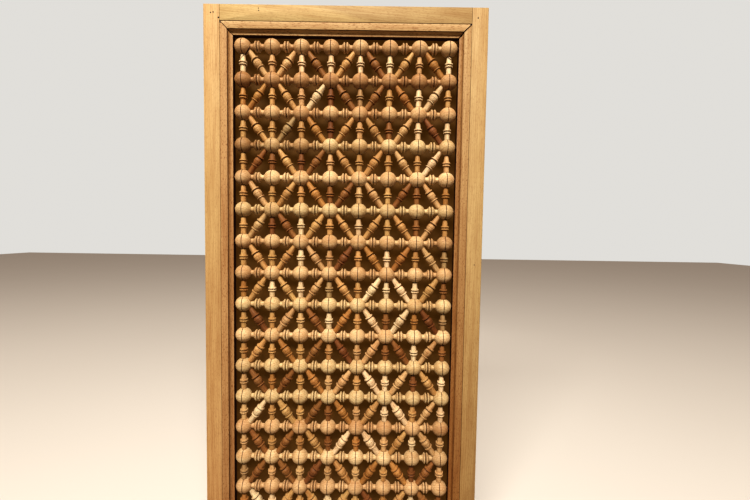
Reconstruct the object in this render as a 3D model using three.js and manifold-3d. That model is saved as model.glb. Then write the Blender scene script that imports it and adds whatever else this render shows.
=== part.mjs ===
// A framed mashrabiya screen: horizontal turned rods of balls, short turned uprights and diagonal
// spindles between them, held in a mitred moulding inside a plain board frame.
// Millimetres, +Z up. The front looks along -Y. The origin is the middle of the underside.

import * as THREE from 'three';
import { mergeVertices } from 'three/addons/utils/BufferGeometryUtils.js';
import Module from 'manifold-3d';

const wasm = await Module();
wasm.setup();

// Lattice layout
const COLUMN_PITCH = 40;
const ROW_PITCH = 44;
const COLUMNS = 8;
const ROWS = 16;

// Turned rod: balls a little longer along the rod than across it, and between them a swelling where the
// two thin discs are turned
const BALL_RADIUS = 10.7;
const BALL_HALF_LENGTH = 11.4;
const DISC_RADIUS = 7.4;
const ROD_SIDES = 6;
const BALL_OUTLINE_SIDES = 8;

// Pins at the rod ends, seated in the mouldings
const PIN_RADIUS = 3;
const PIN_SEAT_DEPTH = 5;
const PIN_CLEARANCE = 0.3;

// Short uprights and diagonal spindles, each with a belly where its rings or its bead are turned. The
// uprights stand on the balls' centres. The diagonals are steeper: at the height of a rod's centre
// their axes lie this far in from the balls' centres. Both root inside the balls, this far from there.
const UPRIGHT_SHAFT_RADIUS = 3.5;
const UPRIGHT_RING_RADIUS = 5.6;
const DIAGONAL_SHAFT_RADIUS = 3.6;
const DIAGONAL_BEAD_RADIUS = 5.8;
const DIAGONAL_INSET = 4.4;
const SPINDLE_SIDES = 3;
const UPRIGHT_ROOT = 0.8 * BALL_RADIUS;
const DIAGONAL_ROOT = 0.3 * BALL_RADIUS;

// Board frame
const FRAME_DEPTH = 26;
const BOARD_WIDTH = 21.5;
const BALL_PLANE_SETBACK = 9;

// Inner moulding: flat band, narrow quirk, cove and lip, shallower than the boards round it
const MOULDING_DEPTH = 14;
const BAND_WIDTH = 9.6;
const QUIRK_WIDTH = 0.6;
const QUIRK_DEPTH = 0.8;
const COVE_WIDTH = 3.9;
const COVE_DEPTH = 5.2;
const COVE_STEPS = 4;
const LIP_WIDTH = 1.5;

// Room between the outermost balls and the lip
const SIDE_CLEARANCE = 1.2;
const END_CLEARANCE = 2.9;

// Gap that neighbouring pieces keep
const JOINT_GAP = 0.3;

// Distances from the middle of the screen
const latticeHalfWidth = ((COLUMNS - 1) * COLUMN_PITCH) / 2;
const latticeHalfHeight = ((ROWS - 1) * ROW_PITCH) / 2;
const mouldingWidth = BAND_WIDTH + QUIRK_WIDTH + COVE_WIDTH + LIP_WIDTH;
const openingHalfWidth = latticeHalfWidth + BALL_HALF_LENGTH + SIDE_CLEARANCE;
const openingHalfHeight = latticeHalfHeight + BALL_RADIUS + END_CLEARANCE;
const mouldingHalfWidth = openingHalfWidth + mouldingWidth;
const mouldingHalfHeight = openingHalfHeight + mouldingWidth;
const frameHalfWidth = mouldingHalfWidth + JOINT_GAP + BOARD_WIDTH;
const frameHalfHeight = mouldingHalfHeight + JOINT_GAP + BOARD_WIDTH;
const frontY = -FRAME_DEPTH / 2;
const ballPlaneY = frontY + BALL_PLANE_SETBACK;

// Wood finishes
const boardWood = { color: 0xc08a58, roughness: 0.62, metalness: 0 };
const mouldingWood = { color: 0xb97f4c, roughness: 0.6, metalness: 0 };
const turnedWood = { color: 0xcf9f68, roughness: 0.5, metalness: 0 };

// Radius of the corners of a polygon whose mean radius is that of the circle it stands for
function cornerRadius(radius, sides) {
  return (2 * radius) / (1 + Math.cos(Math.PI / sides));
}

// Closed geometry with shared vertices and no flat triangles, as a solid that can be joined and cut
function toSolid(geometry) {
  const bare = geometry.clone();
  bare.deleteAttribute('normal');
  bare.deleteAttribute('uv');
  const merged = mergeVertices(bare);
  const corners = merged.index.array;
  const triangles = [];
  for (let i = 0; i < corners.length; i += 3) {
    const [a, b, c] = corners.subarray(i, i + 3);
    if (a !== b && b !== c && c !== a) triangles.push(a, b, c);
  }
  return new wasm.Manifold(new wasm.Mesh({
    numProp: 3,
    vertProperties: merged.attributes.position.array,
    triVerts: Uint32Array.from(triangles),
  }));
}

// Geometry of a solid, for a mesh
function toGeometry(solid) {
  const { numProp, vertProperties, triVerts } = solid.getMesh();
  const geometry = new THREE.BufferGeometry();
  geometry.setAttribute('position', new THREE.BufferAttribute(vertProperties, numProp));
  geometry.setIndex(new THREE.BufferAttribute(triVerts, 1));
  return geometry;
}

// Turned shape along +X from a profile of [along, radius] pairs, its first corner turned by startAngle
// from +Z
function turned(profile, sides, startAngle) {
  const [firstAlong] = profile[0];
  const [lastAlong] = profile[profile.length - 1];
  const points = [
    new THREE.Vector2(0, firstAlong),
    ...profile.map(([along, radius]) => new THREE.Vector2(radius, along)),
    new THREE.Vector2(0, lastAlong),
  ];
  return new THREE.LatheGeometry(points, sides, startAngle).rotateZ(-Math.PI / 2);
}

function columnX(column) {
  return column * COLUMN_PITCH - latticeHalfWidth;
}

// Height of a row above the middle of the screen; row 0 is the top one
function rowZ(row) {
  return latticeHalfHeight - row * ROW_PITCH;
}

// One rod along X, centred on the origin, with every surface moved out by extra
function rodSolid(extra) {
  const hex = (radius) => cornerRadius(radius + extra, ROD_SIDES);
  const ballCorner = cornerRadius(BALL_RADIUS + extra, BALL_OUTLINE_SIDES);
  const ballEnd = cornerRadius(BALL_HALF_LENGTH + extra, BALL_OUTLINE_SIDES);
  const halfStep = Math.PI / BALL_OUTLINE_SIDES;
  const pinEnd = openingHalfWidth + PIN_SEAT_DEPTH;
  const pinShoulder = openingHalfWidth - JOINT_GAP;
  const profile = [[-pinEnd, hex(PIN_RADIUS)], [-pinShoulder, hex(PIN_RADIUS)]];
  for (let column = 0; column < COLUMNS; column += 1) {
    const x = columnX(column);
    if (column > 0) profile.push([x - COLUMN_PITCH / 2, hex(DISC_RADIUS)]);
    for (const step of [-3, -1, 1, 3]) {
      const along = x + ballEnd * Math.sin(step * halfStep);
      profile.push([along, cornerRadius(ballCorner * Math.cos(step * halfStep), ROD_SIDES)]);
    }
  }
  profile.push([pinShoulder, hex(PIN_RADIUS)], [pinEnd, hex(PIN_RADIUS)]);
  return toSolid(turned(profile, ROD_SIDES, Math.PI / ROD_SIDES));
}

// One spindle from the ball at column `from` down to the ball at column `to` in the next row, with a
// corner to the front. Its axis starts and ends `inset` nearer the middle of the cell, and the spindle
// starts and ends `root` further along it.
function spindleSolid(from, to, inset, root, shaftRadius, bellyRadius) {
  const shift = Math.sign(to - from) * inset;
  const drop = new THREE.Vector3((to - from) * COLUMN_PITCH - 2 * shift, 0, -ROW_PITCH);
  const span = drop.length();
  const profile = [
    [root, shaftRadius],
    [span / 2, bellyRadius],
    [span - root, shaftRadius],
  ];
  const geometry = turned(profile, SPINDLE_SIDES, Math.PI / 2);
  geometry.rotateY(Math.atan2(-drop.z, drop.x));
  geometry.translate(columnX(from) + shift, 0, 0);
  return toSolid(geometry);
}

// One lattice row: its rod and the uprights and diagonals that hang from it, their lower ends cut to
// the next rod's balls. The diagonals change their slant from cell to cell.
function latticeRow(row) {
  let solid = rodSolid(0);
  if (row < ROWS - 1) {
    for (let column = 0; column < COLUMNS; column += 1) {
      const upright = [0, UPRIGHT_ROOT, UPRIGHT_SHAFT_RADIUS, UPRIGHT_RING_RADIUS];
      solid = solid.add(spindleSolid(column, column, ...upright));
    }
    for (let column = 0; column < COLUMNS - 1; column += 1) {
      const even = (column + row) % 2 === 0;
      const from = even ? column : column + 1;
      const to = even ? column + 1 : column;
      const diagonal = [DIAGONAL_INSET, DIAGONAL_ROOT, DIAGONAL_SHAFT_RADIUS, DIAGONAL_BEAD_RADIUS];
      solid = solid.add(spindleSolid(from, to, ...diagonal));
    }
    solid = solid.subtract(rodSolid(JOINT_GAP).translate([0, 0, -ROW_PITCH]));
  }
  return toGeometry(solid);
}

// Board of the outer frame
function board(width, height) {
  return new THREE.BoxGeometry(width, FRAME_DEPTH, height);
}

// Moulding along X at the top of the opening, seen from the middle of the screen: its section is drawn
// inwards from the outer edge and back from the front face, and its ends are mitred.
function moulding(halfLength, reach) {
  const section = new THREE.Shape();
  section.moveTo(0, 0);
  section.lineTo(BAND_WIDTH, 0);
  section.lineTo(BAND_WIDTH, QUIRK_DEPTH);
  section.lineTo(BAND_WIDTH + QUIRK_WIDTH, QUIRK_DEPTH);
  for (let step = 1; step <= COVE_STEPS; step += 1) {
    const angle = (step / COVE_STEPS) * (Math.PI / 2);
    section.lineTo(
      BAND_WIDTH + QUIRK_WIDTH + COVE_WIDTH * (1 - Math.cos(angle)),
      QUIRK_DEPTH + (COVE_DEPTH - QUIRK_DEPTH) * Math.sin(angle),
    );
  }
  section.lineTo(mouldingWidth, COVE_DEPTH);
  section.lineTo(mouldingWidth, MOULDING_DEPTH);
  section.lineTo(0, MOULDING_DEPTH);
  section.closePath();
  const geometry = new THREE.ExtrudeGeometry(section, { depth: 1, steps: 1, bevelEnabled: false });
  const position = geometry.attributes.position;
  const cutBack = JOINT_GAP / Math.SQRT2;
  for (let i = 0; i < position.count; i += 1) {
    const inward = position.getX(i);
    const depth = position.getY(i);
    const side = position.getZ(i) > 0.5 ? 1 : -1;
    position.setXYZ(i, side * (halfLength - inward - cutBack), frontY + depth, reach - inward);
  }
  return geometry;
}

// Side moulding, with a blind hole for each rod's pin
function drilledMoulding(halfLength, reach) {
  const lip = reach - mouldingWidth;
  const depth = PIN_SEAT_DEPTH + PIN_CLEARANCE;
  const holeRadius = cornerRadius(PIN_RADIUS, ROD_SIDES) + PIN_CLEARANCE;
  let solid = toSolid(moulding(halfLength, reach));
  for (let row = 0; row < ROWS; row += 1) {
    const hole = turned([[-depth, holeRadius], [depth, holeRadius]], ROD_SIDES, Math.PI / ROD_SIDES);
    hole.rotateY(-Math.PI / 2);
    hole.translate(rowZ(row), ballPlaneY, lip);
    solid = solid.subtract(toSolid(hole));
  }
  return toGeometry(solid);
}

function piece(name, geometry, finish) {
  const mesh = new THREE.Mesh(geometry, new THREE.MeshStandardMaterial(finish));
  mesh.name = name;
  return mesh;
}

// Everything hangs on the middle of the screen, which stands half its height above the origin
const screen = new THREE.Group();
const middle = new THREE.Group();
middle.position.z = frameHalfHeight;
screen.add(middle);

// Board frame: the stiles run full height and the rails butt between them
for (const [name, side] of [['stile_left', -1], ['stile_right', 1]]) {
  const stile = piece(name, board(BOARD_WIDTH, 2 * frameHalfHeight), boardWood);
  stile.position.x = side * (frameHalfWidth - BOARD_WIDTH / 2);
  middle.add(stile);
}
for (const [name, side] of [['rail_top', 1], ['rail_bottom', -1]]) {
  const rail = piece(name, board(2 * mouldingHalfWidth, BOARD_WIDTH), boardWood);
  rail.position.z = side * (frameHalfHeight - BOARD_WIDTH / 2);
  middle.add(rail);
}

// Inner mouldings, turned about the middle to face inwards from each side
for (const [name, angle] of [['moulding_top', 0], ['moulding_bottom', Math.PI]]) {
  const strip = piece(name, moulding(mouldingHalfWidth, mouldingHalfHeight), mouldingWood);
  strip.rotation.y = angle;
  middle.add(strip);
}
for (const [name, angle] of [['moulding_right', Math.PI / 2], ['moulding_left', -Math.PI / 2]]) {
  const strip = piece(name, drilledMoulding(mouldingHalfHeight, mouldingHalfWidth), mouldingWood);
  strip.rotation.y = angle;
  middle.add(strip);
}

// Lattice rows, from the top down
for (let row = 0; row < ROWS; row += 1) {
  const name = `lattice_row_${String(row + 1).padStart(2, '0')}`;
  const lattice = piece(name, latticeRow(row), turnedWood);
  lattice.position.set(0, ballPlaneY, rowZ(row));
  middle.add(lattice);
}

export default screen;
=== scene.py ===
"""Looks of a turned-wood lattice screen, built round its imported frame.

Everything is in metres in the frame's own coordinates: x runs to the right, y to the back and z up,
from the middle of the screen's foot. Profiles are noted in millimetres, as a turner would.
"""

import logging
import math
import random
from collections.abc import Callable, Iterable, Sequence
from dataclasses import dataclass, field
from enum import Enum
from typing import NamedTuple

import bmesh
import bpy
from mathutils import Matrix, Vector

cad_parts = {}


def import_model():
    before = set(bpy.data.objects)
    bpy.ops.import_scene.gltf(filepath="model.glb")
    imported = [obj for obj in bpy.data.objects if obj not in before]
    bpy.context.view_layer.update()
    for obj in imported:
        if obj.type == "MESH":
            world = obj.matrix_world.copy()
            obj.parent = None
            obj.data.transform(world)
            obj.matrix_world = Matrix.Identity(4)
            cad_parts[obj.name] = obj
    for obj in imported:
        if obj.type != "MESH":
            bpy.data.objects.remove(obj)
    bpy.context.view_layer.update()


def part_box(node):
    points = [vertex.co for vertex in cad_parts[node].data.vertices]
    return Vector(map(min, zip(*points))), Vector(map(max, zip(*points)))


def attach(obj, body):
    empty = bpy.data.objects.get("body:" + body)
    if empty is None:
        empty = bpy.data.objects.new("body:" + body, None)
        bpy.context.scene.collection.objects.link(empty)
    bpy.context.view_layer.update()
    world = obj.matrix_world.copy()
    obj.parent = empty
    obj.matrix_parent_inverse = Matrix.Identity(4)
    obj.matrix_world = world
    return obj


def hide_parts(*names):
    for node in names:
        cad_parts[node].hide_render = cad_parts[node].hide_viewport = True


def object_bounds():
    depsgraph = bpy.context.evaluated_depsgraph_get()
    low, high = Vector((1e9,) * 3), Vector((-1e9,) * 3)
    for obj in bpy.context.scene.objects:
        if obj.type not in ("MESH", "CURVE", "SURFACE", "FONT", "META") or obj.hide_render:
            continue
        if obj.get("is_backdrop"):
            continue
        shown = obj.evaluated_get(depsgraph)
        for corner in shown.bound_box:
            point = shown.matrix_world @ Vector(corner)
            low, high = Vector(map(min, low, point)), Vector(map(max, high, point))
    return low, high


MM = 0.001
GRAIN = "grain"
TONE = "tone"
SOIL_AND_SHADE = "soil"

log = logging.getLogger("screen")


class Tone(Enum):
    """Colours of the woods, in linear light, before their figure is drawn."""

    PALE = (0.80, 0.66, 0.43)
    IVORY = (0.775, 0.61, 0.365)
    CREAM = (0.68, 0.54, 0.31)
    STRAW = (0.65, 0.47, 0.265)
    SAND = (0.61, 0.425, 0.22)
    TAN = (0.53, 0.35, 0.18)
    HONEY = (0.57, 0.375, 0.165)
    ORANGE = (0.46, 0.255, 0.09)
    BROWN = (0.31, 0.16, 0.06)
    RUSSET = (0.24, 0.112, 0.044)
    ASH = (0.43, 0.31, 0.16)
    BOARD = (0.55, 0.395, 0.19)
    LIGHT_BOARD = (0.56, 0.435, 0.215)
    DULL_BOARD = (0.49, 0.36, 0.175)
    WARM_BOARD = (0.55, 0.34, 0.157)
    # The deep board tone is painted shade: the right stile darkens to it towards its foot, where less light
    # falls.
    SHADED_BOARD = (0.44, 0.282, 0.12)
    HEART = (0.44, 0.32, 0.155)
    BAND = (0.47, 0.28, 0.13)
    PALE_BAND = (0.55, 0.40, 0.205)
    WARM_BAND = (0.50, 0.33, 0.16)
    # The deep band tone is painted shade in the moulding's coves; the right strip also darkens to it
    # towards the bottom.
    DEEP_BAND_AND_SHADE = (0.30, 0.145, 0.045)


class Cut(NamedTuple):
    """One point of a turned profile, in millimetres, and how dark it is painted, from 0 to 1: dirt at
    joints and marks, painted shade in creases and shaded places.
    """

    along: float
    radius: float
    soil: float = 0.0


class Stock(NamedTuple):
    """The piece of timber that something is cut from: its colour and its place in the tree."""

    colour: tuple[float, float, float]
    offset: Vector


class HeartOrShade(NamedTuple):
    """A board's darker or warmer part, of heartwood, of tone or of painted shade: it starts at a line and
    deepens over a width, in metres.
    """

    tone: Tone
    start: Vector
    across: Vector
    width: float


@dataclass(frozen=True)
class Grid:
    """Places of the lattice's balls."""

    columns: int = 8
    rows: int = 16
    column_pitch: float = 40 * MM
    row_pitch: float = 44 * MM
    lowest_row: float = 51 * MM
    ball_plane: float = -4 * MM
    ball_radius: float = 10.7 * MM
    ball_half_length: float = 11.4 * MM

    def ball(self, column: int, row: int) -> Vector:
        """Gives the centre of a ball.

        Args:
            column: counted from 0 at the left.
            row: counted from 0 at the top.

        Returns:
            The centre, in metres.
        """
        across = (column - (self.columns - 1) / 2) * self.column_pitch
        height = self.lowest_row + (self.rows - 1 - row) * self.row_pitch
        return Vector((across, self.ball_plane, height))


class Wiring:
    """Adds and joins the nodes of one shader tree."""

    def __init__(self, tree: bpy.types.NodeTree) -> None:
        """Takes the tree that the nodes go into."""
        self.tree = tree

    def node(self, kind: str, inputs: dict | None = None, **settings: object) -> bpy.types.Node:
        """Adds one node.

        Args:
            kind: Blender's name of the node's type.
            inputs: values, or sockets to join, by the input's name or number.
            settings: the node's own properties.

        Returns:
            The new node.
        """
        made = self.tree.nodes.new(kind)
        for name, value in settings.items():
            setattr(made, name, value)
        for key, value in (inputs or {}).items():
            if isinstance(value, bpy.types.NodeSocket):
                self.tree.links.new(value, made.inputs[key])
            else:
                made.inputs[key].default_value = value
        return made

    def math(self, operation: str, *values: object) -> bpy.types.NodeSocket:
        """Adds a Math node and gives its result."""
        return self.node("ShaderNodeMath", dict(enumerate(values)), operation=operation).outputs[0]

    def blend(self, kind: str, factor: object, first: object, second: object) -> bpy.types.NodeSocket:
        """Adds a colour Mix node and gives its result."""
        inputs = {"Factor": factor, 6: first, 7: second}
        return self.node("ShaderNodeMix", inputs, data_type="RGBA", blend_type=kind).outputs[2]


def shader_group(name: str, inputs: Sequence[tuple], outputs: Sequence[tuple]) -> tuple:
    """Makes an empty shader group with its sockets.

    Args:
        name: the group's name.
        inputs: a name, a socket type and a default value for each input.
        outputs: a name and a socket type for each output.

    Returns:
        The group, its wiring, its input node and its output node.
    """
    group = bpy.data.node_groups.new(name, "ShaderNodeTree")
    for label, kind, default in inputs:
        socket = group.interface.new_socket(name=label, in_out="INPUT", socket_type=kind)
        socket.default_value = default
    for label, kind in outputs:
        group.interface.new_socket(name=label, in_out="OUTPUT", socket_type=kind)
    wiring = Wiring(group)
    return group, wiring, wiring.node("NodeGroupInput"), wiring.node("NodeGroupOutput")


def figure_group() -> bpy.types.NodeTree:
    """Draws a timber's figure: growth lines, streaks along the grain, broad clouds and short flecks.

    Returns:
        A group that takes the place in the timber, with x along the grain, and the wood's colour.
    """
    group, wiring, given, result = shader_group(
        "timber_figure",
        [
            ("Place", "NodeSocketVector", (0.0, 0.0, 0.0)),
            ("Colour", "NodeSocketColor", (0.5, 0.3, 0.15, 1.0)),
            ("Line Spacing", "NodeSocketFloat", 4.0),
            ("Line Depth", "NodeSocketFloat", 0.5),
            ("Streak Depth", "NodeSocketFloat", 0.5),
            ("Fleck Depth", "NodeSocketFloat", 0.5),
            ("Cloud Depth", "NodeSocketFloat", 0.3),
        ],
        [("Colour", "NodeSocketColor"), ("Relief", "NodeSocketFloat")],
    )
    place = wiring.node(
        "ShaderNodeVectorMath", {0: given.outputs["Place"], "Scale": 1 / MM}, operation="SCALE"
    ).outputs[0]

    def streaks(scale: tuple[float, float, float], detail: float) -> bpy.types.NodeSocket:
        """Gives noise that is drawn out along the grain."""
        stretched = wiring.node(
            "ShaderNodeVectorMath", {0: place, 1: scale}, operation="MULTIPLY"
        ).outputs[0]
        inputs = {"Vector": stretched, "Scale": 1.0, "Detail": detail, "Roughness": 0.55}
        return wiring.node("ShaderNodeTexNoise", inputs).outputs["Fac"]

    def stepped(value: bpy.types.NodeSocket, low: float, high: float) -> bpy.types.NodeSocket:
        """Spreads the part of a value between two limits over 0 to 1, softly."""
        inputs = {"Value": value, "From Min": low, "From Max": high}
        return wiring.node("ShaderNodeMapRange", inputs, interpolation_type="SMOOTHSTEP").outputs[0]

    across = wiring.node(
        "ShaderNodeVectorMath", {0: place, 1: (0.0, 1.0, 1.0)}, operation="MULTIPLY"
    ).outputs[0]
    from_pith = wiring.node("ShaderNodeVectorMath", {0: across}, operation="LENGTH").outputs["Value"]
    wander = wiring.math("MULTIPLY", streaks((0.012, 0.05, 0.05), 2.0), 9.0)
    rings = wiring.math("DIVIDE", wiring.math("ADD", from_pith, wander), given.outputs["Line Spacing"])
    lines = wiring.math("POWER", wiring.math("FRACT", rings), 2.5)
    lines = wiring.math("MULTIPLY", lines, given.outputs["Line Depth"])

    broad = stepped(streaks((0.006, 0.16, 0.16), 3.0), 0.35, 0.68)
    fine = stepped(streaks((0.03, 1.1, 1.1), 2.0), 0.35, 0.7)
    drawn = wiring.math("ADD", wiring.math("MULTIPLY", broad, 0.55), wiring.math("MULTIPLY", fine, 0.45))
    drawn = wiring.math("MULTIPLY", drawn, given.outputs["Streak Depth"])
    clouds = stepped(streaks((0.022, 0.045, 0.045), 1.0), 0.38, 0.66)
    drawn = wiring.math("MULTIPLY_ADD", clouds, given.outputs["Cloud Depth"], drawn)
    shade = wiring.node("ShaderNodeClamp", {"Value": wiring.math("ADD", lines, drawn)}).outputs[0]

    flecks = stepped(streaks((0.28, 1.1, 1.1), 1.0), 0.55, 0.66)
    flecks = wiring.math("MULTIPLY", flecks, given.outputs["Fleck Depth"])

    colour = given.outputs["Colour"]
    late_wood = wiring.blend("MULTIPLY", 1.0, colour, (0.62, 0.48, 0.38, 1.0))
    ray = wiring.blend("MULTIPLY", 1.0, colour, (0.50, 0.36, 0.28, 1.0))
    colour = wiring.blend("MIX", shade, colour, late_wood)
    colour = wiring.blend("MIX", flecks, colour, ray)
    relief = wiring.math("SUBTRACT", 1.0, wiring.math("MAXIMUM", shade, flecks))
    wiring.tree.links.new(colour, result.inputs["Colour"])
    wiring.tree.links.new(relief, result.inputs["Relief"])
    return group


def soil_group() -> bpy.types.NodeTree:
    """Darkens joints with the dirt that they hold, and paints shade into grooves, creases and shaded
    places.

    Returns:
        A group that takes the clean colour and how dark a place is painted, by dirt and by painted shade.
    """
    group, wiring, given, result = shader_group(
        "soiled_joint",
        [
            ("Colour", "NodeSocketColor", (0.5, 0.3, 0.15, 1.0)),
            ("Soil And Shade", "NodeSocketFloat", 0.0),
            ("Soil Colour", "NodeSocketColor", (0.02, 0.01, 0.008, 1.0)),
        ],
        [("Colour", "NodeSocketColor")],
    )
    inputs = {"Value": given.outputs["Soil And Shade"], "From Min": 0.15, "From Max": 0.9}
    amount = wiring.node("ShaderNodeMapRange", inputs, interpolation_type="SMOOTHSTEP").outputs[0]
    colour = wiring.blend("MIX", amount, given.outputs["Colour"], given.outputs["Soil Colour"])
    wiring.tree.links.new(colour, result.inputs["Colour"])
    return group


@dataclass(frozen=True)
class TimberFinish:
    """Bare wood: how strongly its figure shows, and how it shines."""

    name: str
    line_spacing: float
    line_depth: float
    streak_depth: float
    fleck_depth: float
    cloud_depth: float
    roughness: float
    sheen_spread: float = 0.12
    bump: float = 0.12
    shine: float = 0.25
    soil_colour: tuple[float, float, float] = (0.030, 0.012, 0.010)

    def material(self, figure: bpy.types.NodeTree, soiled: bpy.types.NodeTree) -> bpy.types.Material:
        """Makes the material.

        Args:
            figure: the group that draws the grain.
            soiled: the group that darkens the joints with dirt and paints shade into creases and shaded
                places.

        Returns:
            The material, which reads the piece's grain and tone, and how dark dirt and painted shade make
            each place.
        """
        material = bpy.data.materials.new(self.name)
        material.use_nodes = True
        material.node_tree.nodes.clear()
        wiring = Wiring(material.node_tree)
        grain = wiring.node("ShaderNodeAttribute", attribute_name=GRAIN).outputs["Vector"]
        tone = wiring.node("ShaderNodeAttribute", attribute_name=TONE).outputs["Color"]
        soil = wiring.node("ShaderNodeAttribute", attribute_name=SOIL_AND_SHADE).outputs["Fac"]
        drawn = wiring.node("ShaderNodeGroup", node_tree=figure)
        wiring.tree.links.new(grain, drawn.inputs["Place"])
        wiring.tree.links.new(tone, drawn.inputs["Colour"])
        drawn.inputs["Line Spacing"].default_value = self.line_spacing
        drawn.inputs["Line Depth"].default_value = self.line_depth
        drawn.inputs["Streak Depth"].default_value = self.streak_depth
        drawn.inputs["Fleck Depth"].default_value = self.fleck_depth
        drawn.inputs["Cloud Depth"].default_value = self.cloud_depth
        dark = wiring.node("ShaderNodeGroup", node_tree=soiled)
        wiring.tree.links.new(drawn.outputs["Colour"], dark.inputs["Colour"])
        wiring.tree.links.new(soil, dark.inputs["Soil And Shade"])
        dark.inputs["Soil Colour"].default_value = (*self.soil_colour, 1.0)
        gloss = {
            "Value": drawn.outputs["Relief"],
            "To Min": self.roughness + self.sheen_spread,
            "To Max": self.roughness,
        }
        roughness = wiring.node("ShaderNodeMapRange", gloss).outputs[0]
        height = {"Height": drawn.outputs["Relief"], "Strength": self.bump, "Distance": 0.2 * MM}
        bump = wiring.node("ShaderNodeBump", height).outputs["Normal"]
        shine = wiring.math("MULTIPLY_ADD", soil, -self.shine, self.shine)
        skin = {"Base Color": dark.outputs["Colour"], "Roughness": roughness, "Normal": bump}
        shader = wiring.node("ShaderNodeBsdfPrincipled", {**skin, "Specular IOR Level": shine})
        wiring.node("ShaderNodeOutputMaterial", {"Surface": shader.outputs["BSDF"]})
        return material


@dataclass(frozen=True)
class PlainFinish:
    """A plain paint or metal for nails and for the studio."""

    name: str
    colour: tuple[float, float, float]
    roughness: float
    metallic: float = 0.0
    mottle: float = 0.25
    mottle_scale: float = 900.0
    one_sided: bool = False
    bounce: float = 1.0
    glow: float = 0.0

    def material(self) -> bpy.types.Material:
        """Makes the material, with a little mottling over its colour."""
        material = bpy.data.materials.new(self.name)
        material.use_nodes = True
        material.node_tree.nodes.clear()
        wiring = Wiring(material.node_tree)
        place = wiring.node("ShaderNodeTexCoord").outputs["Object"]
        noise = {"Vector": place, "Scale": self.mottle_scale, "Detail": 3.0}
        spots = wiring.node("ShaderNodeTexNoise", noise).outputs["Fac"]
        dark = tuple(channel * (1 - self.mottle) for channel in self.colour)
        colour = wiring.blend("MIX", spots, (*dark, 1.0), (*self.colour, 1.0))
        if self.bounce < 1:
            seen = wiring.node("ShaderNodeLightPath").outputs["Is Camera Ray"]
            thrown = tuple(channel * self.bounce for channel in self.colour)
            colour = wiring.blend("MIX", seen, (*thrown, 1.0), colour)
        skin = {"Base Color": colour, "Roughness": self.roughness, "Metallic": self.metallic}
        if self.glow:
            seen = wiring.node("ShaderNodeLightPath").outputs["Is Camera Ray"]
            skin["Emission Color"] = colour
            skin["Emission Strength"] = wiring.math("MULTIPLY", seen, self.glow)
        surface = wiring.node("ShaderNodeBsdfPrincipled", skin).outputs["BSDF"]
        if self.one_sided:
            rays = wiring.node("ShaderNodeLightPath").outputs
            seen = wiring.math("MAXIMUM", rays["Is Camera Ray"], rays["Is Glossy Ray"])
            back = wiring.node("ShaderNodeNewGeometry").outputs["Backfacing"]
            front = wiring.math("SUBTRACT", seen, back)
            clear = wiring.node("ShaderNodeBsdfTransparent").outputs["BSDF"]
            surface = wiring.node("ShaderNodeMixShader", {0: front, 1: clear, 2: surface}).outputs[0]
        wiring.node("ShaderNodeOutputMaterial", {"Surface": surface})
        return material


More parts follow.
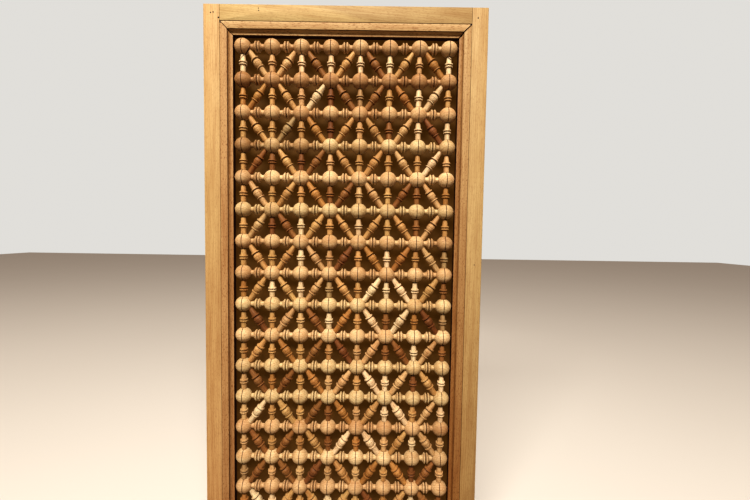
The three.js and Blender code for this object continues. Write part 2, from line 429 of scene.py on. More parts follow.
class Bench:
    """Gathers worked pieces into one mesh, and notes each one's timber on its points."""

    def __init__(self, name: str) -> None:
        """Starts an empty mesh for the piece of that name."""
        self.name = name
        self.mesh = bmesh.new()
        self.grain = self.mesh.verts.layers.float_vector.new(GRAIN)
        self.tone = self.mesh.verts.layers.float_color.new(TONE)
        self.soil = self.mesh.verts.layers.float.new(SOIL_AND_SHADE)
        self.known: set[bmesh.types.BMVert] = set()

    def fresh(self) -> list[bmesh.types.BMVert]:
        """Gives the points added since this was last asked."""
        added = [point for point in self.mesh.verts if point not in self.known]
        self.known.update(added)
        return added

    def stain(self, points: Iterable[bmesh.types.BMVert], stock: Stock, along: Vector) -> None:
        """Notes the timber on some points.

        Args:
            points: the points, before they are moved into place.
            stock: the timber that they are cut from.
            along: the direction of the grain.
        """
        turn = along.rotation_difference(Vector((1, 0, 0))).to_matrix()
        for point in points:
            point[self.grain] = turn @ point.co + stock.offset
            point[self.tone] = (*stock.colour, 1.0)

    def fade(
        self, points: Iterable[bmesh.types.BMVert], tone: Tone, share: Callable[[Vector], float]
    ) -> None:
        """Lets the timber's colour change gradually to another tone.

        Args:
            points: the points, stained already.
            tone: the other tone.
            share: gives the other tone's share at a place, from 0 to 1.
        """
        other = Vector((*tone.value, 1.0))
        for point in points:
            point[self.tone] = point[self.tone].lerp(other, share(point.co))

    def turn(
        self, cuts: Sequence[Cut], sides: int, start: Vector, along: Vector, stock: Stock, roll: float
    ) -> None:
        """Turns a profile on the lathe and sets it in place.

        Args:
            cuts: the profile, from one end to the other.
            sides: how many faces go round.
            start: where the profile's zero lies, in metres.
            along: the direction of its axis.
            stock: the timber that it is cut from.
            roll: how far it is rolled about its axis, in radians.
        """
        line = [self.mesh.verts.new((cut.radius * MM, 0, cut.along * MM)) for cut in cuts]
        for point, cut in zip(line, cuts):
            point[self.soil] = cut.soil
        edges = [self.mesh.edges.new(pair) for pair in zip(line, line[1:])]
        bmesh.ops.spin(
            self.mesh, geom=line + edges, cent=(0, 0, 0), axis=(0, 0, 1), angle=math.tau,
            steps=sides, use_merge=True,
        )
        points = [point for point in self.mesh.verts if point not in self.known]
        bmesh.ops.remove_doubles(self.mesh, verts=points, dist=0.001 * MM)
        points = self.fresh()
        self.stain(points, stock, Vector((0, 0, 1)))
        placed = (
            Matrix.Translation(start)
            @ Vector((0, 0, 1)).rotation_difference(along).to_matrix().to_4x4()
            @ Matrix.Rotation(roll, 4, "Z")
        )
        bmesh.ops.transform(self.mesh, matrix=placed, verts=points)

    def finish(self, material: bpy.types.Material, crease: float) -> bpy.types.Object:
        """Closes the mesh and makes the piece.

        Args:
            material: its finish.
            crease: edges bent further than this, in degrees, stay sharp.

        Returns:
            The piece, standing at the origin.
        """
        bmesh.ops.recalc_face_normals(self.mesh, faces=self.mesh.faces)
        mesh = bpy.data.meshes.new(self.name)
        self.mesh.to_mesh(mesh)
        self.mesh.free()
        mesh.materials.append(material)
        mesh.shade_smooth()
        mesh.set_sharp_from_angle(angle=math.radians(crease))
        piece = bpy.data.objects.new(self.name, mesh)
        bpy.context.scene.collection.objects.link(piece)
        return piece


@dataclass
class Timber:
    """The wood store: hands out timber of a seeded random tone."""

    seed: int
    choices: dict[Tone, float]
    spread: float = 0.08
    chance: random.Random = field(init=False)

    def __post_init__(self) -> None:
        """Seeds the store."""
        self.chance = random.Random(self.seed)

    def pick(self, tone: Tone | None = None) -> Stock:
        """Gives one piece of timber.

        Args:
            tone: its tone, or None for one of the store's own choices.

        Returns:
            The timber, a little lighter or darker than its tone.
        """
        if tone is None:
            tone = self.chance.choices(list(self.choices), weights=list(self.choices.values()))[0]
        light = 1 + self.chance.uniform(-self.spread, self.spread)
        warmth = 1 + self.chance.uniform(-self.spread, self.spread) / 2
        red, green, blue = tone.value
        place = Vector([self.chance.uniform(20, 90) * MM for _ in range(3)])
        return Stock((red * light, green * light * warmth, blue * light * warmth), place)


@dataclass
class Rod:
    """A level rod: balls in a row, with a pair of discs turned between each two, and a pin at each end."""

    grid: Grid
    row: int
    stock: Stock
    sides: int = 20
    ball_steps: int = 5
    neck_radius: float = 3.5
    mark_width: float = 0.55
    mark_depth: float = 0.10
    pin_radius: float = 3.0
    pin_reach: float = 17.4
    # The soil figures in the link paint shade beside the discs and in the groove between them.
    link: tuple[Cut, ...] = (
        Cut(11.7, 3.45), Cut(14.3, 3.6), Cut(15.8, 5.0, 0.15), Cut(16.3, 5.5, 0.6), Cut(16.8, 6.3, 0.3),
        Cut(17.4, 7.25), Cut(18.6, 7.35), Cut(19.2, 6.4, 0.15), Cut(19.7, 5.0, 0.7),
        Cut(20.3, 5.0, 0.7), Cut(20.8, 6.4, 0.15), Cut(21.4, 7.35), Cut(22.6, 7.25),
        Cut(23.2, 6.3, 0.3), Cut(23.7, 5.5, 0.6), Cut(24.2, 5.0, 0.15), Cut(25.7, 3.6), Cut(28.3, 3.45),
    )

    @property
    def stretch(self) -> float:
        """How much longer a ball is along the rod than across it."""
        return self.grid.ball_half_length / self.grid.ball_radius

    def ball(self, centre: float) -> list[Cut]:
        """Gives a ball's profile, with the scribed line round its middle.

        Args:
            centre: where its centre lies along the rod.

        Returns:
            The cuts from one neck to the other.
        """
        radius = self.grid.ball_radius / MM
        low = math.asin(self.neck_radius / radius)
        high = math.pi / 2 - self.mark_width / radius
        angles = [low + (high - low) * step / self.ball_steps for step in range(self.ball_steps + 1)]
        angles.insert(1, low + 0.06)
        left = [
            Cut(centre - radius * self.stretch * math.cos(a), radius * math.sin(a)) for a in angles
        ]
        # The neck's root is painted darker where it meets the ball: painted shade in the crease.
        left[0] = left[0]._replace(soil=0.6)
        right = [Cut(2 * centre - cut.along, cut.radius, cut.soil) for cut in reversed(left)]
        edge = self.mark_width / 2
        mark = [Cut(centre + side * edge, radius - self.mark_depth, 1.0) for side in (-1, 1)]
        return [*left, *mark, *right]

    @property
    def pin_start(self) -> float:
        """Distance from the last ball's centre to where its pin leaves it."""
        low = math.asin(self.pin_radius / (self.grid.ball_radius / MM))
        return self.grid.ball_half_length / MM * math.cos(low)

    def profile(self) -> list[Cut]:
        """Gives the whole rod's cuts, from the first ball's centre."""
        pitch = self.grid.column_pitch / MM
        last = (self.grid.columns - 1) * pitch
        # The pins are painted dark all along: painted shade, as they sit in the shadowed gap beside the end
        # balls.
        cuts = [Cut(-self.pin_reach, 0, 1.0), Cut(-self.pin_reach, self.pin_radius, 1.0)]
        cuts.append(Cut(-self.pin_start, self.pin_radius, 1.0))
        for column in range(self.grid.columns):
            cuts += self.ball(column * pitch)
            if column < self.grid.columns - 1:
                cuts += [Cut(cut.along + column * pitch, cut.radius, cut.soil) for cut in self.link]
        cuts.append(Cut(last + self.pin_start, self.pin_radius, 1.0))
        return [*cuts, Cut(last + self.pin_reach, self.pin_radius, 1.0), Cut(last + self.pin_reach, 0, 1.0)]

    def build(self, material: bpy.types.Material) -> bpy.types.Object:
        """Turns the rod, and darkens the balls listed in DARK_BALLS towards brown.

        Args:
            material: its finish.

        Returns:
            The rod.
        """
        bench = Bench(f"rod_{self.row + 1:02d}")
        start = self.grid.ball(0, self.row)
        bench.turn(self.profile(), self.sides, start, Vector((1, 0, 0)), self.stock, 0.0)
        for (row, column), depth in DARK_BALLS.items():
            if row == self.row:
                middle = self.grid.ball(column, row)
                reach = self.grid.column_pitch / 2
                near = [point for point in bench.mesh.verts if abs(point.co.x - middle.x) < reach]
                bench.fade(near, Tone.BROWN, lambda place, depth=depth: depth)
        return bench.finish(material, 38)


@dataclass
class Spindles:
    """Small turned spindles between two rods, all of one pattern."""

    name: str
    grid: Grid
    row: int
    timber: Timber
    cuts: tuple[Cut, ...]
    ends: Callable[[int, int], tuple[tuple[int, int], tuple[int, int]]]
    count: int
    inset: float = 0.0
    start: float = 10.7
    sides: int = 10
    stoutness: float = 0.05
    slip: float = 0.45
    taper: float = 0.12

    def build(self, material: bpy.types.Material) -> bpy.types.Object:
        """Turns one row of spindles."""
        chance = self.timber.chance
        bench = Bench(f"{self.name}_{self.row + 1:02d}")
        for place in range(self.count):
            upper, lower = (self.grid.ball(*end) for end in self.ends(place, self.row))
            inset = Vector((math.copysign(self.inset, lower.x - upper.x), 0, 0)) * MM
            upper, lower = upper + inset, lower - inset
            along = (lower - upper).normalized()
            start = upper + along * self.start * MM
            stout = 1 + chance.uniform(-self.stoutness, self.stoutness)
            slip = chance.uniform(-self.slip, self.slip)
            slender = stout * (1 - self.taper * abs(slip) / self.slip)
            last = len(self.cuts) - 1
            cuts = [
                Cut(
                    cut.along + (slip if 2 < at < last - 2 else 0),
                    cut.radius * (slender if at < 4 else stout), cut.soil,
                )
                for at, cut in enumerate(self.cuts)
            ]
            roll = chance.uniform(0, math.tau)
            bench.turn(cuts, self.sides, start, along, self.timber.pick(), roll)
        return bench.finish(material, 38)


# In both profiles below, the soil figures at the upper end are partly joint dirt and partly the painted
# shadow of the ball above; those in the grooves and beside the collars are painted shade; those at the
# lower end are joint dirt.
UPRIGHT_CUTS = (
    Cut(-2.0, 0), Cut(-2.0, 3.4, 1.0), Cut(0.2, 3.4, 0.6), Cut(2.2, 3.5, 0.15), Cut(5.0, 3.65),
    Cut(8.6, 4.0), Cut(9.1, 5.65), Cut(10.6, 5.8), Cut(11.3, 4.8, 0.5), Cut(11.8, 4.4, 0.9),
    Cut(12.3, 4.8, 0.5), Cut(13.1, 5.75), Cut(14.0, 5.7), Cut(14.5, 4.4, 0.6), Cut(15.4, 3.85, 0.2),
    Cut(16.8, 3.75), Cut(21.5, 3.7), Cut(22.6, 3.7, 0.35), Cut(24.6, 3.6, 1.0), Cut(24.6, 0),
)
DIAGONAL_CUTS = (
    Cut(-4.0, 0), Cut(-4.0, 3.2, 1.0), Cut(0.0, 3.3, 0.4), Cut(1.5, 3.4), Cut(7.0, 3.8),
    Cut(10.7, 4.05), Cut(11.4, 5.75), Cut(12.7, 5.9), Cut(13.4, 4.5, 0.6), Cut(14.0, 4.0, 0.75),
    Cut(15.0, 4.8, 0.25), Cut(16.7, 5.75), Cut(18.6, 6.0), Cut(18.9, 5.9, 0.5), Cut(19.3, 5.9, 0.5),
    Cut(19.6, 5.95), Cut(21.4, 5.6), Cut(22.9, 4.9), Cut(24.5, 4.1, 0.65), Cut(25.1, 5.65),
    Cut(26.2, 5.75), Cut(26.6, 4.4, 0.65), Cut(27.5, 4.0, 0.2), Cut(36.5, 3.85), Cut(38.2, 3.75, 0.4),
    Cut(41.6, 3.5, 1.0), Cut(41.6, 0),
)
DIAGONAL_INSET = 4.4
DIAGONAL_START = 7.94
ROD_TONES = {
    1: Tone.TAN, 3: Tone.CREAM, 4: Tone.IVORY, 5: Tone.CREAM, 8: Tone.CREAM, 9: Tone.IVORY,
    10: Tone.CREAM, 11: Tone.CREAM, 13: Tone.IVORY,
}
DARK_BALLS = {
    (1, 0): 0.5, (3, 0): 0.6, (3, 1): 0.3, (3, 2): 0.3, (4, 0): 0.35, (6, 7): 0.45, (10, 0): 0.2,
    (12, 7): 0.4, (13, 6): 0.25, (13, 7): 0.35,
}


def upright_ends(place: int, row: int) -> tuple[tuple[int, int], tuple[int, int]]:
    """Gives the upper and lower ball of an upright."""
    return (place, row), (place, row + 1)


def diagonal_ends(place: int, row: int) -> tuple[tuple[int, int], tuple[int, int]]:
    """Gives the upper and lower ball of a diagonal; they lean left and right in turn."""
    if (place + row) % 2 == 0:
        return (place, row), (place + 1, row + 1)
    return (place + 1, row), (place, row + 1)


@dataclass
class Board:
    """A board of the outer frame, with eased arrises."""

    node: str
    stock: Stock
    upright: bool
    slope: float = 0.0
    arris: float = 0.7
    joint_arris: float = 0.18
    joint_soil: float = 0.55
    butt_arris: float = 0.18
    butt_soil: float = 0.4
    heart_or_shade: HeartOrShade | None = None

    def build(self, material: bpy.types.Material) -> bpy.types.Object:
        """Planes the board to its node's own box.

        Args:
            material: its finish.

        Returns:
            The board.
        """
        low, high = (Vector(corner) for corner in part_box(self.node))
        bench = Bench(f"{self.node}_board")
        bmesh.ops.create_cube(bench.mesh, size=1.0)
        bmesh.ops.scale(bench.mesh, vec=high - low, verts=bench.mesh.verts)
        bmesh.ops.translate(bench.mesh, vec=(low + high) / 2, verts=bench.mesh.verts)

        def glued(edge: bmesh.types.BMEdge, joint: int) -> bool:
            """Tells whether an edge borders one of the glued faces."""
            places = [point.co for point in edge.verts]
            places.append((places[0] + places[1]) / 2)
            return all(self.joint_distances(place, low, high)[joint] < 0.01 * MM for place in places)

        def ease(edges: list[bmesh.types.BMEdge], size: float) -> None:
            """Rounds some edges over."""
            bmesh.ops.bevel(
                bench.mesh, geom=edges, offset=size * MM, segments=2, profile=0.5, affect="EDGES",
                material=-1,
            )

        joints = ((self.joint_arris, self.joint_soil), *[(self.butt_arris, self.butt_soil)] * 2)
        for joint, _ in enumerate(self.joint_distances(low, low, high)):
            ease([edge for edge in bench.mesh.edges if glued(edge, joint)], joints[joint][0])
        square = math.radians(80)
        ease([edge for edge in bench.mesh.edges if edge.calc_face_angle(0) > square], self.arris)
        lean = Matrix.Rotation(self.slope, 3, "Y")
        if self.heart_or_shade:
            self.mark_heart_or_shade(bench.mesh)
        points = bench.fresh()
        bench.stain(points, self.stock, lean @ Vector((0, 0, 1) if self.upright else (1, 0, 0)))
        if self.heart_or_shade:
            bench.fade(points, self.heart_or_shade.tone, self.heart_or_shade_share)
        for point in points:
            gaps = self.joint_distances(point.co, low, high)
            near = [soil for gap, (size, soil) in zip(gaps, joints) if gap < size / 2 * MM]
            point[bench.soil] = max(near, default=0.0) if point.co.y < 0 else 0.0
        return bench.finish(material, 60)

    def joint_distances(self, place: Vector, low: Vector, high: Vector) -> list[float]:
        """Gives how far a point is from each of the board's glued faces."""
        if self.upright:
            return [high.x - place.x if place.x < 0 else place.x - low.x]
        inner = place.z - low.z if low.z > 0.1 else high.z - place.z
        return [inner, place.x - low.x, high.x - place.x]

    def mark_heart_or_shade(self, mesh: bmesh.types.BMesh) -> None:
        """Cuts the board's faces along both edges of the band where its heartwood, tone or painted shade
        deepens.
        """
        for width in (0.0, self.heart_or_shade.width):
            bmesh.ops.bisect_plane(
                mesh, geom=[*mesh.verts, *mesh.edges, *mesh.faces], dist=1e-6,
                plane_co=self.heart_or_shade.start + self.heart_or_shade.across * width, plane_no=self.heart_or_shade.across,
            )

    def heart_or_shade_share(self, place: Vector) -> float:
        """Gives the share of the heartwood, tone or painted shade at a place, from 0 to 1."""
        deep = (place - self.heart_or_shade.start).dot(self.heart_or_shade.across) / self.heart_or_shade.width
        return min(max(deep, 0.0), 1.0)


@dataclass
class Moulding:
    """One side of the inner moulding: a flat band, a fine quirk, a cove and a lip, with mitred ends."""

    node: str
    stock: Stock
    turn: float
    half_length: float
    reach: float
    front: float = -13.0
    depth: float = 14.0
    band: float = 9.6
    quirk: float = 0.6
    quirk_depth: float = 0.8
    cove: float = 3.9
    cove_depth: float = 5.2
    lip: float = 1.5
    arris: float = 0.25
    joint_arris: float = 0.25
    joint_soil: float = 0.45
    inner_soil: float = 0.8
    quirk_soil: float = 0.75
    cove_shade: float = 0.3
    end_tone: Tone | None = None
    start_gap: float = 0.15
    end_gap: float = 0.15
    dirty_end: float = 0.5
    cove_steps: int = 8
    middle: float = 381.0

    @property
    def width(self) -> float:
        """Whole width of the section."""
        return self.band + self.quirk + self.cove + self.lip

    def section(self, mesh: bmesh.types.BMesh) -> bmesh.types.BMFace:
        """Draws the section across the strip; its cove is a quarter turn, stretched to its sizes.

        Args:
            mesh: where the strip is made.

        Returns:
            The section's face.
        """
        head = mesh.verts.new((0, 0, -1))
        bmesh.ops.spin(
            mesh, geom=[head], cent=(0, 0, 0), axis=(1, 0, 0), angle=math.pi / 2,
            steps=self.cove_steps,
        )
        cove = sorted(mesh.verts, key=lambda point: point.co.y)
        for point in cove:
            inward = self.width - self.lip + point.co.z * self.cove
            fall = self.quirk_depth + point.co.y * (self.cove_depth - self.quirk_depth)
            point.co = (0, self.front + fall, self.reach - inward)
        outer = [(0, 0), (self.band, 0), (self.band, self.quirk_depth)]
        inner = [(self.width, self.cove_depth), (self.width, self.depth), (0, self.depth)]
        before, after = (
            [mesh.verts.new((0, self.front + deep, self.reach - inward)) for inward, deep in corners]
            for corners in (outer, inner)
        )
        return mesh.faces.new([*before, *cove, *after])

    def run(self, mesh: bmesh.types.BMesh) -> None:
        """Runs the section along the strip and cuts its mitres."""
        face = self.section(mesh)
        bmesh.ops.translate(mesh, vec=(-self.half_length, 0, 0), verts=face.verts)
        drawn = bmesh.ops.extrude_face_region(mesh, geom=[face])["geom"]
        moved = [item for item in drawn if isinstance(item, bmesh.types.BMVert)]
        bmesh.ops.translate(mesh, vec=(2 * self.half_length, 0, 0), verts=moved)
        for side, gap in ((-1, self.start_gap), (1, self.end_gap)):
            corner = Vector((side * self.half_length, 0, self.reach))
            across = Vector((side, 0, -1)).normalized()
            for back, clear in ((gap, True), (gap + self.dirty_end, False)):
                bmesh.ops.bisect_plane(
                    mesh, geom=[*mesh.verts, *mesh.edges, *mesh.faces], dist=1e-4,
                    plane_co=corner - across * back, plane_no=across, clear_outer=clear,
                )
                bmesh.ops.holes_fill(mesh, edges=[edge for edge in mesh.edges if edge.is_boundary])

    def ease(self, mesh: bmesh.types.BMesh) -> None:
        """Eases the long arrises."""
        for corner, size in (
            ((0.0, 0.0), self.joint_arris), ((self.band, 0.0), self.arris),
            ((self.width, self.cove_depth), self.arris), ((self.width, self.depth), self.arris),
            ((0.0, self.depth), self.arris),
        ):
            edges = [
                edge for edge in mesh.edges
                if all(
                    math.dist((self.reach - point.co.z, point.co.y - self.front), corner) < 0.01
                    for point in edge.verts
                )
            ]
            bmesh.ops.bevel(
                mesh, geom=edges, offset=size, segments=2, profile=0.5, affect="EDGES", material=-1,
            )

    def dirt_and_shade_at(self, place: Vector) -> float:
        """Gives how dark a point is painted: joints and mitres hold dirt, the quirk is painted shade, and
        the inner face is partly dirt and mostly painted shade.

        Args:
            place: the point, in millimetres, before the strip is set round the opening.

        Returns:
            The amount, from 0 to 1.
        """
        inward, deep = self.reach - place.z, place.y - self.front
        # The inner face behind the lip: partly dirt, mostly painted shade.
        if inward > self.width - 0.02 and deep > self.cove_depth + self.arris / 2:
            return self.inner_soil
        if deep > self.depth / 2:
            return 0.0
        ends = [
            self.half_length - inward - side * place.x - gap * math.sqrt(2)
            for side, gap in ((-1, self.start_gap), (1, self.end_gap))
        ]
        if min(ends) < self.arris / 2:
            return 1.0
        if inward < self.joint_arris / 2:
            return self.joint_soil
        # The quirk: painted shade.
        in_quirk = self.band - 0.05 < inward < self.band + self.quirk + 0.05 and deep > 0.5
        return self.quirk_soil if in_quirk and deep < self.quirk_depth + 0.05 else 0.0

    def build(self, material: bpy.types.Material) -> bpy.types.Object:
        """Makes the strip and sets it round the opening.

        Args:
            material: its finish.

        Returns:
            The strip.
        """
        bench = Bench(f"{self.node}_strip")
        self.run(bench.mesh)
        self.ease(bench.mesh)
        points = bench.fresh()
        for point in points:
            point[bench.soil] = self.dirt_and_shade_at(point.co)
        bmesh.ops.scale(bench.mesh, vec=(MM, MM, MM), verts=points)
        bench.stain(points, self.stock, Vector((1, 0, 0)))
        if self.end_tone:
            half = self.half_length * MM
            bench.fade(points, self.end_tone, lambda place: (place.x / half + 1) / 2)
        # Painted shade: the cove, the lip and the inner face fade towards the deep band tone by the
        # cove_shade share.
        inner = (self.reach - self.band - self.quirk / 2) * MM
        shaded = [point for point in points if point.co.z < inner]
        bench.fade(shaded, Tone.DEEP_BAND_AND_SHADE, lambda place: self.cove_shade)
        placed = Matrix.Translation((0, 0, self.middle * MM)) @ Matrix.Rotation(self.turn, 4, "Y")
        bmesh.ops.transform(bench.mesh, matrix=placed, verts=points)
        return bench.finish(material, 30)


@dataclass
class Nails:
    """Small nail heads and old holes in the face of the frame, at x and z in millimetres."""

    name: str
    places: tuple[tuple[float, float], ...]
    radius: float
    face: float = -13.0
    proud: float = 0.03
    length: float = 0.6
    sides: int = 12

    def build(self, material: bpy.types.Material) -> bpy.types.Object:
        """Sets the heads into the wood.

        Args:
            material: their finish.

        Returns:
            One piece with every head.
        """
        bench = Bench(self.name)
        for across, height in self.places:
            bmesh.ops.create_cone(
                bench.mesh, cap_ends=True, segments=self.sides, radius1=self.radius * MM,
                radius2=self.radius * MM, depth=self.length * MM,
                matrix=Matrix.Translation(
                    Vector((across, self.face - self.proud + self.length / 2, height)) * MM
                ) @ Matrix.Rotation(math.pi / 2, 4, "X"),
            )
        return bench.finish(material, 40)


@dataclass
class Scratches:
    """Fine scratches in turned pieces: narrow strips let into the wood, in millimetres."""

    name: str
    proud: float = 0.04
    depth: float = 0.3
    steps: int = 10
    bench: Bench = field(init=False)

    def __post_init__(self) -> None:
        """Starts the piece."""
        self.bench = Bench(self.name)

    def strip(self, section: list[tuple], sweep: float, rise: float, placed: Matrix) -> None:
        """Sweeps a strip round a local upright axis and sets it in place.

        Args:
            section: the corners of its section: how far out and how high.
            sweep: the angle that it covers, in radians.
            rise: how far it climbs on the way.
            placed: where the axis stands, and how it is turned.
        """
        mesh = self.bench.mesh
        corners = [mesh.verts.new((out, 0, height)) for out, height in section]
        sides = [mesh.edges.new(pair) for pair in zip(corners, [*corners[1:], corners[0]])]
        bmesh.ops.spin(
            mesh, geom=corners + sides, cent=(0, 0, 0), axis=(0, 0, 1), angle=sweep,
            dvec=(0, 0, rise / self.steps), steps=self.steps,
        )
        bmesh.ops.holes_fill(mesh, edges=[edge for edge in mesh.edges if edge.is_boundary])
        bmesh.ops.transform(mesh, matrix=placed, verts=self.bench.fresh())

    def on_ball(
        self, centre: Vector, radius: float, stretch: float, pole: Vector, offset: float,
        sweep: float, width: float,
    ) -> None:
        """Scratches a small circle's arc on the front of a ball.

        Args:
            centre: the ball's centre, in metres.
            radius: its radius.
            stretch: how much longer it is along x.
            pole: the direction of the circle's axis.
            offset: how far from the ball's centre the circle lies.
            sweep: the angle that it covers.
            width: the scratch's width.
        """
        half = width / 2
        low, high = offset - half, offset + half
        outer = radius + self.proud
        inner = math.sqrt(radius**2 - offset**2) - self.depth
        section = [
            (math.sqrt(outer**2 - low**2), low), (math.sqrt(outer**2 - high**2), high),
            (inner, offset),
        ]
        front = Vector((0, -1, 0))
        front = (front - pole * front.dot(pole)).normalized()
        facing = Matrix((front, pole.cross(front), pole)).transposed().to_4x4()
        start = Matrix.Rotation(-sweep / 2, 4, "Z")
        longer = Matrix.Translation(centre) @ Matrix.Scale(stretch, 4, Vector((1, 0, 0)))
        self.strip(section, sweep, 0.0, longer @ facing @ start @ Matrix.Scale(MM, 4))

    def on_upright(
        self, centre: Vector, radius: float, below: float, sweep: float, rise: float, width: float
    ) -> None:
        """Scratches a slanting line on the front of an upright.

        Args:
            centre: the centre of the ball that it hangs from, in metres.
            radius: the upright's radius there.
            below: how far below that centre the line's middle lies.
            sweep: the angle that it covers, from left to right.
            rise: how far it climbs on the way.
            width: the scratch's width.
        """
        half = width / 2
        section = [
            (radius + self.proud, -half), (radius + self.proud, half), (radius - self.depth, 0.0),
        ]
        middle = centre - Vector((0, 0, below + rise / 2)) * MM
        start = Matrix.Rotation(-math.pi / 2 - sweep / 2, 4, "Z")
        self.strip(section, sweep, rise, Matrix.Translation(middle) @ start @ Matrix.Scale(MM, 4))

    def finish(self, material: bpy.types.Material) -> bpy.types.Object:
        """Makes the piece."""
        return self.bench.finish(material, 40)


@dataclass
class Studio:
    """The floor, the dark board behind the opening that paints the shade seen through the lattice, the
    lamps and the camera.
    """

    camera_place: tuple[float, float, float] = (44.45, -526.77, 463.59)
    camera_pitch: float = 0.05082
    camera_roll: float = 0.00074
    camera_yaw: float = 0.01492
    framing: float = -0.5 / 750
    lens: float = 18.0
    sensor: float = 36.0
    floor_size: float = 12.0
    card_back: float = 13.4
    wall: tuple[float, float, float] = (0.55, 0.54, 0.52)
    fill: tuple[float, float, float] = (1.0, 0.66, 0.42)
    fill_strength: float = 0.18

    def camera(self) -> None:
        """Sets the camera where the photograph was taken from."""
        data = bpy.data.cameras.new("camera")
        data.lens, data.sensor_width = self.lens, self.sensor
        data.shift_x = self.framing
        data.clip_start, data.clip_end = 0.01, 50
        camera = bpy.data.objects.new("camera", data)
        bpy.context.scene.collection.objects.link(camera)
        look = (
            Matrix.Rotation(self.camera_yaw, 3, "Z")
            @ Matrix.Rotation(self.camera_pitch, 3, "X")
            @ Matrix.Rotation(self.camera_roll, 3, "Y")
        )
        upright = Matrix(((1, 0, 0), (0, 0, -1), (0, 1, 0)))
        facing = (look @ upright).transposed() @ Matrix.Diagonal((1, -1, -1))
        camera.matrix_world = Matrix.Translation(Vector(self.camera_place) * MM) @ facing.to_4x4()
        bpy.context.scene.camera = camera

    def plane(self, name: str, size: tuple[float, float], place: Matrix, finish: PlainFinish) -> None:
        """Adds one flat plane of the studio.

        Args:
            name: its name.
            size: its width and length, in metres.
            place: where it lies and how it is turned.
            finish: its colour.
        """
        mesh = bmesh.new()
        bmesh.ops.create_grid(mesh, x_segments=1, y_segments=1, size=0.5)
        bmesh.ops.scale(mesh, vec=(*size, 1), verts=mesh.verts)
        bmesh.ops.transform(mesh, matrix=place, verts=mesh.verts)
        data = bpy.data.meshes.new(name)
        mesh.to_mesh(data)
        mesh.free()
        data.materials.append(finish.material())
        plane = bpy.data.objects.new(name, data)
        bpy.context.scene.collection.objects.link(plane)
        plane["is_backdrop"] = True

    def lamp(
        self, name: str, place: tuple, target: tuple, size: tuple, power: float, tint: tuple,
        spread: float = 180.0, mirrored: bool = True,
    ) -> None:
        """Adds one soft box.

        Args:
            name: its name.
            place: where it hangs.
            target: the point that it faces.
            size: its width and height.
            power: its power, in watts.
            tint: its colour.
            spread: how wide its light opens, in degrees.
            mirrored: whether shiny surfaces show it.
        """
        data = bpy.data.lights.new(name, "AREA")
        data.spread = math.radians(spread)
        data.shape = "RECTANGLE"
        data.size, data.size_y = size
        data.energy, data.color = power, tint
        lamp = bpy.data.objects.new(name, data)
        lamp.location = place
        lamp.visible_glossy = mirrored
        lamp.rotation_euler = (Vector(target) - Vector(place)).to_track_quat("-Z", "Y").to_euler()
        bpy.context.scene.collection.objects.link(lamp)

    def build(self) -> None:
        """Sets the whole studio."""
        scene = bpy.context.scene
        scene.view_settings.view_transform = "Standard"
        scene.view_settings.look = "High Contrast"
        world = bpy.data.worlds.new("studio")
        world.use_nodes = True
        world.node_tree.nodes.clear()
        wiring = Wiring(world.node_tree)
        seen = wiring.node("ShaderNodeLightPath").outputs["Is Camera Ray"]
        fill = {"Color": (*self.fill, 1.0), "Strength": self.fill_strength}
        fill = wiring.node("ShaderNodeBackground", fill).outputs[0]
        wall = wiring.node("ShaderNodeBackground", {"Color": (*self.wall, 1.0)}).outputs[0]
        mixed = wiring.node("ShaderNodeMixShader", {0: seen, 1: fill, 2: wall}).outputs[0]
        wiring.node("ShaderNodeOutputWorld", {"Surface": mixed})
        scene.world = world
        floor = PlainFinish(
            "studio_floor", (0.62, 0.60, 0.56), 0.8, mottle=0.02, mottle_scale=2.0, bounce=0.25,
            glow=0.2,
        )
        flat = Matrix.Translation((0, 0, -0.0005))
        self.plane("floor", (self.floor_size, self.floor_size), flat, floor)
        # The card is painted shade: a dark board behind the opening stands for the shade seen through the
        # lattice, and its glow paints an even light on it for the camera.
        shade_card = PlainFinish(
            "studio_card", (0.115, 0.056, 0.011), 0.9, mottle=0.6, mottle_scale=60.0,
            one_sided=True, glow=0.5,
        )
        low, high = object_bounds()
        size = (high.x - low.x - 0.004, high.z - low.z - 0.004)
        upright = Matrix.Translation((0, self.card_back * MM, (low.z + high.z) / 2))
        self.plane("shade_card", size, upright @ Matrix.Rotation(math.pi / 2, 4, "X"), shade_card)
        self.lamp("key", (-0.2, -2.2, 2.6), (0, 0, 0.45), (2.6, 0.7), 136, (1.0, 0.94, 0.86))
        self.lamp(
            "back", (0.3, 2.6, 1.0), (0, 0, 0.45), (0.9, 0.9), 2.2, (1.0, 0.95, 0.9), 40.0, False
        )
        self.camera()


def fit(piece: bpy.types.Object, slot: str, *nodes: str) -> None:
    """Fixes a finished piece on the screen.

    Args:
        piece: the piece.
        slot: the material slot that its finish belongs to; it is not used.
        nodes: the nodes that it stands for.
    """
    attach(piece, "root")
    if nodes:
        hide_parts(*nodes)
    log.info("%s: %d faces", piece.name, len(piece.data.polygons))


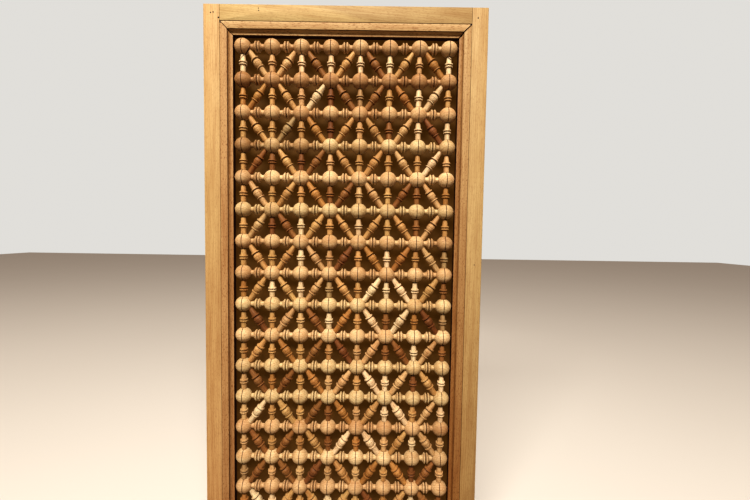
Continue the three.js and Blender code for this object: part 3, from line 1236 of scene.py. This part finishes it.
def main() -> None:
    """Builds the screen's pieces in order and sets the studio."""
    logging.basicConfig(level=logging.INFO, format="%(name)s: %(message)s")
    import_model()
    figure, soiled = figure_group(), soil_group()
    turned = TimberFinish("turned_wood_bare", 2.6, 0.35, 0.55, 0.65, 0.35, 0.50).material(figure, soiled)
    planed = TimberFinish("board_wood_bare", 3.0, 0.25, 0.55, 0.30, 0.15, 0.55).material(figure, soiled)
    shaped = TimberFinish("moulding_wood_bare", 3.5, 0.3, 0.60, 0.85, 0.15, 0.52).material(figure, soiled)
    iron = PlainFinish("nail_iron", (0.012, 0.007, 0.007), 0.9).material()

    boards = Timber(7, {Tone.BOARD: 1.0}, spread=0.03)
    heart_or_shade = HeartOrShade(
        Tone.HEART, Vector((-61, 0, 762)) * MM, Vector((0.243, 0, 0.97)).normalized(), 6 * MM
    )
    foot = HeartOrShade(Tone.WARM_BOARD, Vector((0, 0, 480)) * MM, Vector((0, 0, -1)), 460 * MM)
    # The right stile's foot is painted shade: it darkens towards the bottom, where less light falls.
    shaded_foot = HeartOrShade(Tone.SHADED_BOARD, Vector((0, 0, 400)) * MM, Vector((0, 0, -1)), 440 * MM)
    for board in (
        Board("stile_left", boards.pick(Tone.BOARD), True, heart_or_shade=foot),
        Board("stile_right", boards.pick(Tone.DULL_BOARD), True, 0.01, heart_or_shade=shaded_foot),
        Board(
            "rail_top", boards.pick(Tone.LIGHT_BOARD), False, 0.09, joint_arris=0.4, joint_soil=1.0,
            heart_or_shade=heart_or_shade,
        ),
        Board("rail_bottom", boards.pick(Tone.DULL_BOARD), False, 0.02),
    ):
        fit(board.build(planed), "board_wood", board.node)

    bands = Timber(11, {Tone.BAND: 1.0}, spread=0.03)
    half_width, half_height = 168.2, 359.2
    for strip in (
        Moulding(
            "moulding_top", bands.pick(Tone.PALE_BAND), 0.0, half_width, half_height,
            joint_arris=0.45, joint_soil=1.0, start_gap=0.2, end_gap=0.5,
        ),
        Moulding(
            "moulding_bottom", bands.pick(Tone.BAND), math.pi, half_width, half_height,
            joint_soil=0.6,
        ),
        # The right strip darkens towards the bottom to the deep band tone, and its cove carries more
        # painted shade.
        Moulding(
            "moulding_right", bands.pick(Tone.PALE_BAND), math.pi / 2, half_height, half_width,
            joint_soil=0.65, quirk_soil=0.4, start_gap=0.5, cove_shade=0.55, end_tone=Tone.DEEP_BAND_AND_SHADE,
        ),
        Moulding(
            "moulding_left", bands.pick(Tone.BAND), -math.pi / 2, half_height, half_width,
            joint_soil=0.3, cove_shade=0.15, end_gap=0.2, end_tone=Tone.WARM_BAND,
        ),
    ):
        fit(strip.build(shaped), "moulding_wood", strip.node)

    grid = Grid()
    rods = Timber(3, {Tone.STRAW: 1.0}, spread=0.03)
    spindles = Timber(
        653042,
        {
            Tone.HONEY: 27, Tone.SAND: 20, Tone.PALE: 19, Tone.ORANGE: 12, Tone.BROWN: 13,
            Tone.RUSSET: 6, Tone.ASH: 3,
        },
    )
    for row in range(grid.rows):
        node = f"lattice_row_{row + 1:02d}"
        stock = rods.pick(ROD_TONES.get(row, Tone.STRAW))
        fit(Rod(grid, row, stock).build(turned), "turned_wood", node)
        if row == grid.rows - 1:
            continue
        uprights = Spindles(
            "uprights", grid, row, spindles, UPRIGHT_CUTS, upright_ends, grid.columns
        )
        fit(uprights.build(turned), "turned_wood", node)
        diagonals = Spindles(
            "diagonals", grid, row, spindles, DIAGONAL_CUTS, diagonal_ends, grid.columns - 1,
            DIAGONAL_INSET, DIAGONAL_START,
        )
        fit(diagonals.build(turned), "turned_wood", node)

    dark = PlainFinish("scratch_dirt", (0.035, 0.014, 0.014), 0.9).material()
    scratches = Scratches("scratches")
    pole = Vector((0.774, 0.473, -0.422)).normalized()
    stretch = grid.ball_half_length / grid.ball_radius
    scratches.on_ball(grid.ball(0, 0), grid.ball_radius / MM, stretch, pole, 6.6, 3.0, 1.3)
    scratches.on_upright(grid.ball(0, 0), 3.55, 14.3, 1.5, 5.6, 1.0)
    scratches.on_upright(grid.ball(7, 0), 3.5, 13.4, 1.3, -3.6, 1.1)
    fit(scratches.finish(dark), "turned_wood")
    pale = PlainFinish("fresh_wood", (0.78, 0.66, 0.46), 0.6).material()
    chip = Scratches("chip")
    chip.on_upright(grid.ball(7, 0), 3.5, 15.0, 1.0, -2.8, 1.5)
    fit(chip.finish(pale), "turned_wood")
    nails = Nails("nail_heads", ((-180.2, 750.6), (-176.6, 751.1), (176.0, 748.3)), 0.9)
    fit(nails.build(iron), "board_wood")
    holes = Nails("nail_holes", ((-169.6, 744.2), (167.0, 739.8), (-167.4, 738.5)), 1.1)
    fit(holes.build(iron), "board_wood")
    marks = Nails("pin_marks", ((-116.3, 757.0), (-115.9, 754.0), (180.1, 418.9)), 0.7)
    fit(marks.build(iron), "board_wood")
    Studio().build()


if __name__ == "__main__":
    main()
